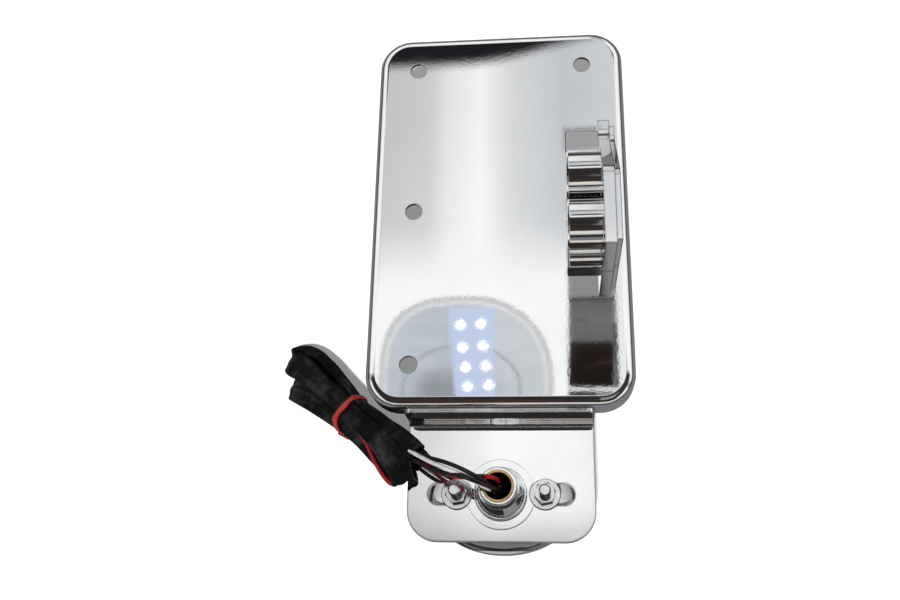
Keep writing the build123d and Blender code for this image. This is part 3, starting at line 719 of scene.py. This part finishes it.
# The sleeve from the mouth that the wires come out of: place, the way its flat width
# points there, and how wide and how thick it is there against the whole.
SLEEVE_WIDTH = 0.0096
SLEEVE_THICKNESS = 0.0032
SLEEVE_WALL = 0.0006
SLEEVE_SIDES = 40
MOUTH_DEPTH = 0.007
SLEEVE = [
    ((-0.0343, -0.1084, -0.0076), (0.60, 0.78, 0.10), 0.92, 1.75),
    ((-0.0375, -0.1057, -0.0086), (0.60, 0.78, 0.10), 0.98, 1.35),
    ((-0.0444, -0.1000, -0.0135), (0.60, 0.79, 0.10), 1.05, 1.10),
    ((-0.0529, -0.0933, -0.0210), (0.62, 0.78, 0.10), 1.00, 1.00),
    ((-0.0652, -0.0828, -0.0320), (0.68, 0.66, 0.30), 0.86, 1.00),
    ((-0.0696, -0.0767, -0.0365), (0.72, 0.50, 0.50), 0.90, 1.00),
    ((-0.0757, -0.0696, -0.0400), (0.66, 0.40, 0.65), 1.00, 1.00),
    ((-0.0825, -0.0616, -0.0415), (0.58, 0.46, 0.66), 1.08, 1.00),
    ((-0.0899, -0.0558, -0.0425), (0.45, 0.72, 0.50), 1.12, 1.00),
    ((-0.0958, -0.0547, -0.0435), (0.41, 0.90, 0.10), 1.15, 1.00),
    ((-0.1006, -0.0580, -0.0415), (0.41, 0.91, 0.00), 1.18, 1.00),
    ((-0.0974, -0.0612, -0.0365), (0.41, 0.91, 0.00), 1.20, 1.10),
    ((-0.0918, -0.0643, -0.0350), (0.50, 0.86, -0.05), 1.18, 1.15),
    ((-0.0862, -0.0692, -0.0340), (0.58, 0.81, -0.05), 1.05, 1.15),
    ((-0.0812, -0.0735, -0.0330), (0.60, 0.80, 0.00), 1.00, 1.10),
    ((-0.0752, -0.0789, -0.0315), (0.62, 0.78, 0.00), 0.95, 1.05),
    ((-0.0684, -0.0857, -0.0294), (0.64, 0.76, 0.00), 0.88, 0.95),
    ((-0.0611, -0.0926, -0.0230), (0.66, 0.75, 0.00), 0.98, 1.10),
    ((-0.0526, -0.0999, -0.0160), (0.70, 0.71, 0.00), 1.04, 1.30),
    ((-0.0463, -0.1074, -0.0108), (0.78, 0.62, 0.00), 1.12, 1.60),
    ((-0.0421, -0.1134, -0.0088), (0.86, 0.50, 0.00), 1.10, 1.70),
    ((-0.0402, -0.1200, -0.0105), (0.90, 0.42, 0.00), 1.00, 1.30),
    ((-0.0438, -0.1149, -0.0175), (0.88, 0.46, 0.00), 0.95, 1.00),
    ((-0.0511, -0.1080, -0.0220), (0.74, 0.66, 0.00), 0.95, 1.00),
    ((-0.0584, -0.1008, -0.0275), (0.68, 0.73, 0.00), 0.90, 1.00),
    ((-0.0662, -0.0938, -0.0330), (0.64, 0.76, 0.00), 0.88, 1.00),
    ((-0.0729, -0.0878, -0.0372), (0.60, 0.80, 0.00), 0.88, 1.00),
    ((-0.0801, -0.0822, -0.0400), (0.54, 0.84, 0.00), 0.98, 1.00),
    ((-0.0874, -0.0780, -0.0415), (0.44, 0.89, 0.00), 1.05, 1.00),
    ((-0.0940, -0.0735, -0.0420), (0.34, 0.93, 0.00), 1.10, 1.10),
    ((-0.1003, -0.0703, -0.0438), (0.24, 0.96, 0.00), 1.08, 1.00),
    ((-0.0961, -0.0729, -0.0464), (0.34, 0.93, 0.00), 1.05, 0.90),
    ((-0.0885, -0.0776, -0.0460), (0.46, 0.88, 0.00), 0.98, 0.90),
    ((-0.0796, -0.0833, -0.0442), (0.56, 0.83, 0.00), 0.92, 0.90),
    ((-0.0712, -0.0894, -0.0406), (0.62, 0.78, 0.00), 0.86, 0.90),
    ((-0.0629, -0.0969, -0.0345), (0.66, 0.75, 0.00), 0.86, 0.90),
    ((-0.0552, -0.1045, -0.0290), (0.72, 0.69, 0.00), 0.86, 0.90),
    ((-0.0489, -0.1109, -0.0240), (0.78, 0.62, 0.00), 0.86, 0.90),
]

# A bight of red wire that has slipped out along the hank's lower edge.
BIGHT = [
    (-0.0643, -0.0941, -0.0295), (-0.0598, -0.0998, -0.0260), (-0.0564, -0.1062, -0.0225),
    (-0.0526, -0.1125, -0.0188), (-0.0489, -0.1174, -0.0162), (-0.0458, -0.1203, -0.0152),
    (-0.0438, -0.1194, -0.0170), (-0.0448, -0.1153, -0.0200),
]

# The soft band round the hank: its middle, the hank's direction there, and the way across.
TIE_MIDDLE = (-0.0690, -0.0852, -0.0345)
TIE_ALONG = (0.75, -0.563, 0.348)
TIE_ACROSS = (0.60, 0.80, 0.0)
# Half the oval that its middle follows, and half its own width and thickness.
TIE_OVAL = (0.0092, 0.0077)
TIE_BAND = (0.00135, 0.00065)
TIE_TAIL = (0.0012, 0.0006)
TIE_SIDES = 16
TIE_STEPS = 96
TAIL_STEPS = 24


def nurbs(name, points):
    """A smooth open curve with these control points, in the frame of the model."""
    data = bpy.data.curves.new(name, "CURVE")
    data.dimensions = "3D"
    data.resolution_u = 14
    line = data.splines.new("NURBS")
    line.points.add(len(points) - 1)
    for point, place in zip(line.points, points):
        point.co = (*at(*place), 1.0)
    line.order_u = 3
    line.use_endpoint_u = True
    return data


def read_line(data):
    """The points along a curve's middle, and how far along the whole each one is."""
    carrier = bpy.data.objects.new("line_reader", data)
    mesh = bpy.data.meshes.new_from_object(carrier)
    line = [v.co.copy() for v in mesh.vertices]
    bpy.data.objects.remove(carrier)
    bpy.data.meshes.remove(mesh)
    far = [0.0]
    for a, b in zip(line, line[1:]):
        far.append(far[-1] + (b - a).length)
    return line, far


def add_wires():
    """The four leads, and the bight of red wire beside the hank."""
    for name, (cover, length, points) in WIRES.items():
        add_wire(name + "_lead", cover, points, name)
    add_wire("red_bight", "wire_red_pvc", BIGHT, "harness_hank")


def add_wire(title, cover, points, node):
    """A round wire as a smooth curve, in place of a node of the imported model."""
    data = nurbs(title, points)
    data.bevel_depth = WIRE_RADIUS
    data.bevel_resolution = 5
    data.use_fill_caps = True
    wire = bpy.data.objects.new(title, data)
    bpy.context.scene.collection.objects.link(wire)
    data.materials.append(SLOTS[cover])
    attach(wire, "root")
    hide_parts(node)


def skin(title, rings, closed, slot):
    """A smooth surface through rings of points, joined end to end or capped."""
    made = bmesh.new()
    rows = [[made.verts.new(p) for p in ring] for ring in rings]
    sides = len(rows[0])
    for a, b in zip(rows, rows[1:] + rows[:1] if closed else rows[1:]):
        for s in range(sides):
            t = (s + 1) % sides
            made.faces.new((a[s], a[t], b[t], b[s]))
    if not closed:
        made.faces.new(list(reversed(rows[0])))
        made.faces.new(rows[-1])
    bmesh.ops.recalc_face_normals(made, faces=made.faces)
    mesh = bpy.data.meshes.new(title)
    made.to_mesh(mesh)
    made.free()
    for face in mesh.polygons:
        face.use_smooth = True
    piece = bpy.data.objects.new(title, mesh)
    bpy.context.scene.collection.objects.link(piece)
    mesh.materials.append(SLOTS[slot])
    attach(piece, "root")
    return piece


def squared(angle, power):
    """A point of a round outline that power below 1 draws out towards a box."""
    c, d = math.cos(angle), math.sin(angle)
    return math.copysign(abs(c) ** power, c), math.copysign(abs(d) ** power, d)


def sleeve_ring(centre, wide, thick, half_wide, half_thick, along):
    """One section of the sleeve: a soft flat tube over the wires, with creases."""
    ring = []
    for s in range(SLEEVE_SIDES):
        across, out = squared(2 * math.pi * s / SLEEVE_SIDES, 0.78)
        ridge = 0.13 * math.cos(across * 7.0 + 0.8 * math.sin(along * 70.0))
        crease = 0.10 * math.sin(across * 4.0 + along * 260.0) * math.sin(along * 95.0 + 1.0)
        pull = 0.05 * math.sin(along * 610.0 + across * 2.0)
        sag = 1.0 + ridge + crease + pull
        ring.append(centre + wide * (across * half_wide) + thick * (out * half_thick * sag))
    return ring


def add_sleeve(pieces):
    """The flattened sleeve, as rings that follow the smooth line of its route."""
    line, far = read_line(nurbs("sleeve_route", [entry[0] for entry in SLEEVE]))
    # How far along the line each control point belongs.
    marks = []
    start = 0
    for entry in SLEEVE:
        target = at(*entry[0])
        nearby = range(start, min(len(line), start + 60))
        start = min(nearby, key=lambda i: (line[i] - target).length)
        marks.append(far[start])
    rings = []
    for i, centre in enumerate(line):
        ahead = (line[min(i + 1, len(line) - 1)] - line[max(i - 1, 0)]).normalized()
        k = max(j for j in range(len(SLEEVE)) if marks[j] <= far[i] + 1e-9)
        k = min(k, len(SLEEVE) - 2)
        span = marks[k + 1] - marks[k]
        share = 0.0 if span < 1e-6 else min(1.0, max(0.0, (far[i] - marks[k]) / span))
        share = share * share * (3 - 2 * share)
        here, following = SLEEVE[k], SLEEVE[k + 1]
        wide = Vector(here[1]).lerp(Vector(following[1]), share)
        wide = (wide - ahead * wide.dot(ahead)).normalized()
        thick = ahead.cross(wide).normalized()
        half_wide = SLEEVE_WIDTH / 2 * (here[2] + (following[2] - here[2]) * share)
        half_wide *= 1.0 + 0.03 * math.sin(far[i] * 190.0 + 0.6)
        half_thick = SLEEVE_THICKNESS / 2 * (here[3] + (following[3] - here[3]) * share)
        rings.append((centre, wide, thick, half_wide, half_thick, far[i]))
    outer = [sleeve_ring(*ring) for ring in rings]
    # The open mouth: a thin wall that turns in and runs back inside the sleeve.
    inner = [
        sleeve_ring(
            centre, wide, thick, half_wide - SLEEVE_WALL, half_thick - SLEEVE_WALL, along
        )
        for centre, wide, thick, half_wide, half_thick, along in rings
        if along < MOUTH_DEPTH
    ]
    sleeve = skin("sleeve", list(reversed(inner)) + outer, False, "sleeve_pvc")
    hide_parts("harness_hank")
    print("sleeve length", far[-1])


def add_tie():
    """A soft band drawn tight round the hank, with the short end that was pulled through."""
    middle = at(*TIE_MIDDLE)
    along = Vector(TIE_ALONG).normalized()
    across = Vector(TIE_ACROSS).normalized()
    over = along.cross(across)

    def band(turns, half_wide, half_thick, lift):
        """Sections along an oval round the hank, for part of a turn or more."""
        rings = []
        for angle, raised in zip(turns, lift):
            c, d = squared(angle, 0.86)
            out = (across * c + over * d).normalized()
            place = middle + across * (c * (TIE_OVAL[0] + raised))
            place += over * (d * (TIE_OVAL[1] + raised))
            place += along * (0.0005 * math.sin(angle * 2.0 + 0.7) + 0.0003 * math.sin(angle * 5.0))
            swell = 1.0 + 0.10 * math.sin(angle * 9.0)
            ring = []
            for s in range(TIE_SIDES):
                a, b = squared(2 * math.pi * s / TIE_SIDES, 0.7)
                ring.append(place + along * (a * half_wide * swell) + out * (b * half_thick))
            rings.append(ring)
        return rings

    whole = [2 * math.pi * i / TIE_STEPS for i in range(TIE_STEPS)]
    ring = skin("tie", band(whole, *TIE_BAND, [0.0] * TIE_STEPS), True, "red_tie")
    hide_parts("tie_band")
    # The short end lies over the band on the side away from the plate.
    part = [3.35 + 0.62 * i / TAIL_STEPS for i in range(TAIL_STEPS + 1)]
    lifted = [0.0010 + 0.0026 * (i / TAIL_STEPS) ** 2 for i in range(TAIL_STEPS + 1)]
    tail = skin("tie_tail", band(part, *TIE_TAIL, lifted), False, "red_tie")
    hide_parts("tie_band")
    return [ring, tail]


# ---------------------------------------------------------------- the whole scene

add_world()
add_floor()
add_sun()
dress_nodes()
add_wires()
add_sleeve(add_tie())


def plain(box):
    return [[float(c) for c in corner] for corner in box]
